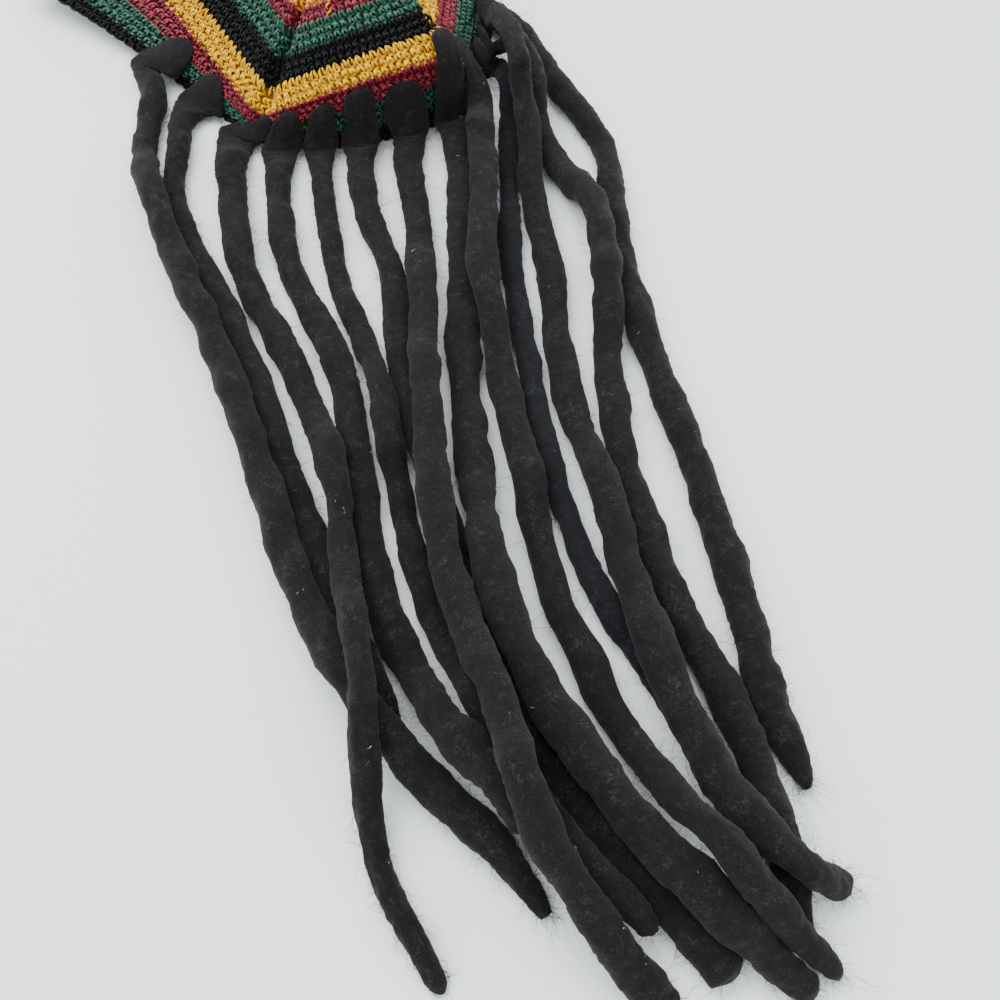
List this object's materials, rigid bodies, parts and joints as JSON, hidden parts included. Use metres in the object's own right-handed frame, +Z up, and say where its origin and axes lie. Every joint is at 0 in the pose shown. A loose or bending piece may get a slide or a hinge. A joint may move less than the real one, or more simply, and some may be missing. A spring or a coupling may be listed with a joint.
{
  "type": "knitted tam with felted locks",
  "caption": "Striped crocheted cap lying crown-up, with long felted wool locks that hang from its rim and lie in a fan beside it",
  "frame": {"origin": "middle of the bounding box at table height, the tam lying crown-up on the table", "axes": "+Z up; the locks spread from the rim towards -Y, and +X is to the right of someone who looks from the tips to the crown"},
  "size_m": [0.3728, 0.5728, 0.072],
  "materials": {
    "crochet": "crocheted cotton yarn in stripes of green, red, yellow and black",
    "black_yarn": "black cotton yarn, worked double",
    "felted_wool": "matted charcoal-brown wool with a fine fuzz"
  },
  "bodies": {
    "root": {"crown": "crochet", "rim_band": "black_yarn", "lock_01": "felted_wool", "lock_02": "felted_wool", "lock_03": "felted_wool", "lock_04": "felted_wool", "lock_05": "felted_wool", "lock_06": "felted_wool", "lock_07": "felted_wool", "lock_08": "felted_wool", "lock_09": "felted_wool", "lock_10": "felted_wool", "lock_11": "felted_wool", "lock_12": "felted_wool", "lock_13": "felted_wool"}
  },
  "joints": []
}
